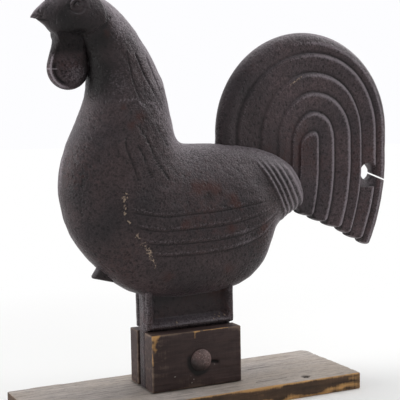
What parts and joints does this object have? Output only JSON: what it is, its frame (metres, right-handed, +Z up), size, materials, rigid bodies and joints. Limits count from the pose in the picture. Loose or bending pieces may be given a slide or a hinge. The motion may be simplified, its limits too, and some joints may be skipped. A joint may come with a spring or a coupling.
{
  "type": "windmill weight",
  "caption": "Cast-iron rooster counterweight with a ribbed fan tail, its stem clamped by a carriage bolt between two wooden blocks on a display board.",
  "frame": {"origin": "underside of the board, on the bird's middle plane, under the middle of its stem", "axes": "+X from beak to tail, +Y away from the shown side, +Z up"},
  "size_m": [0.487, 0.131, 0.496],
  "materials": {
    "cast_iron_weathered": "dark satin patina with rust, over a pitted casting skin",
    "board_wood": "weathered grey-brown boards with worn edges",
    "block_wood": "old dark brown paint, rubbed to raw wood at the corners",
    "bolt_iron": "rusted purple-brown, pitted",
    "hardware_steel": "dull, lightly rusted"
  },
  "bodies": {
    "stand": {"rooster_casting": "cast_iron_weathered", "base_board": "board_wood", "front_block": "block_wood", "rear_block": "block_wood", "carriage_bolt": "bolt_iron", "base_screws": "hardware_steel"},
    "washer": {"rear_washer": "hardware_steel"},
    "nut": {"square_nut": "hardware_steel"}
  },
  "joints": [
    {"name": "washer_slide", "type": "slide", "parent": "stand", "child": "washer", "axis": [0, 1, 0], "range_m": [0, 0.00726]},
    {"name": "nut_turn", "type": "hinge", "parent": "washer", "child": "nut", "pos_m": [0.004, 0.0406, 0.0525], "axis": [0, 1, 0], "range_deg": [0, 1440]}
  ],
  "couplings": [
    {"joint": "nut_turn", "follows": "washer_slide", "rad_per_m": 3463.2}
  ]
}
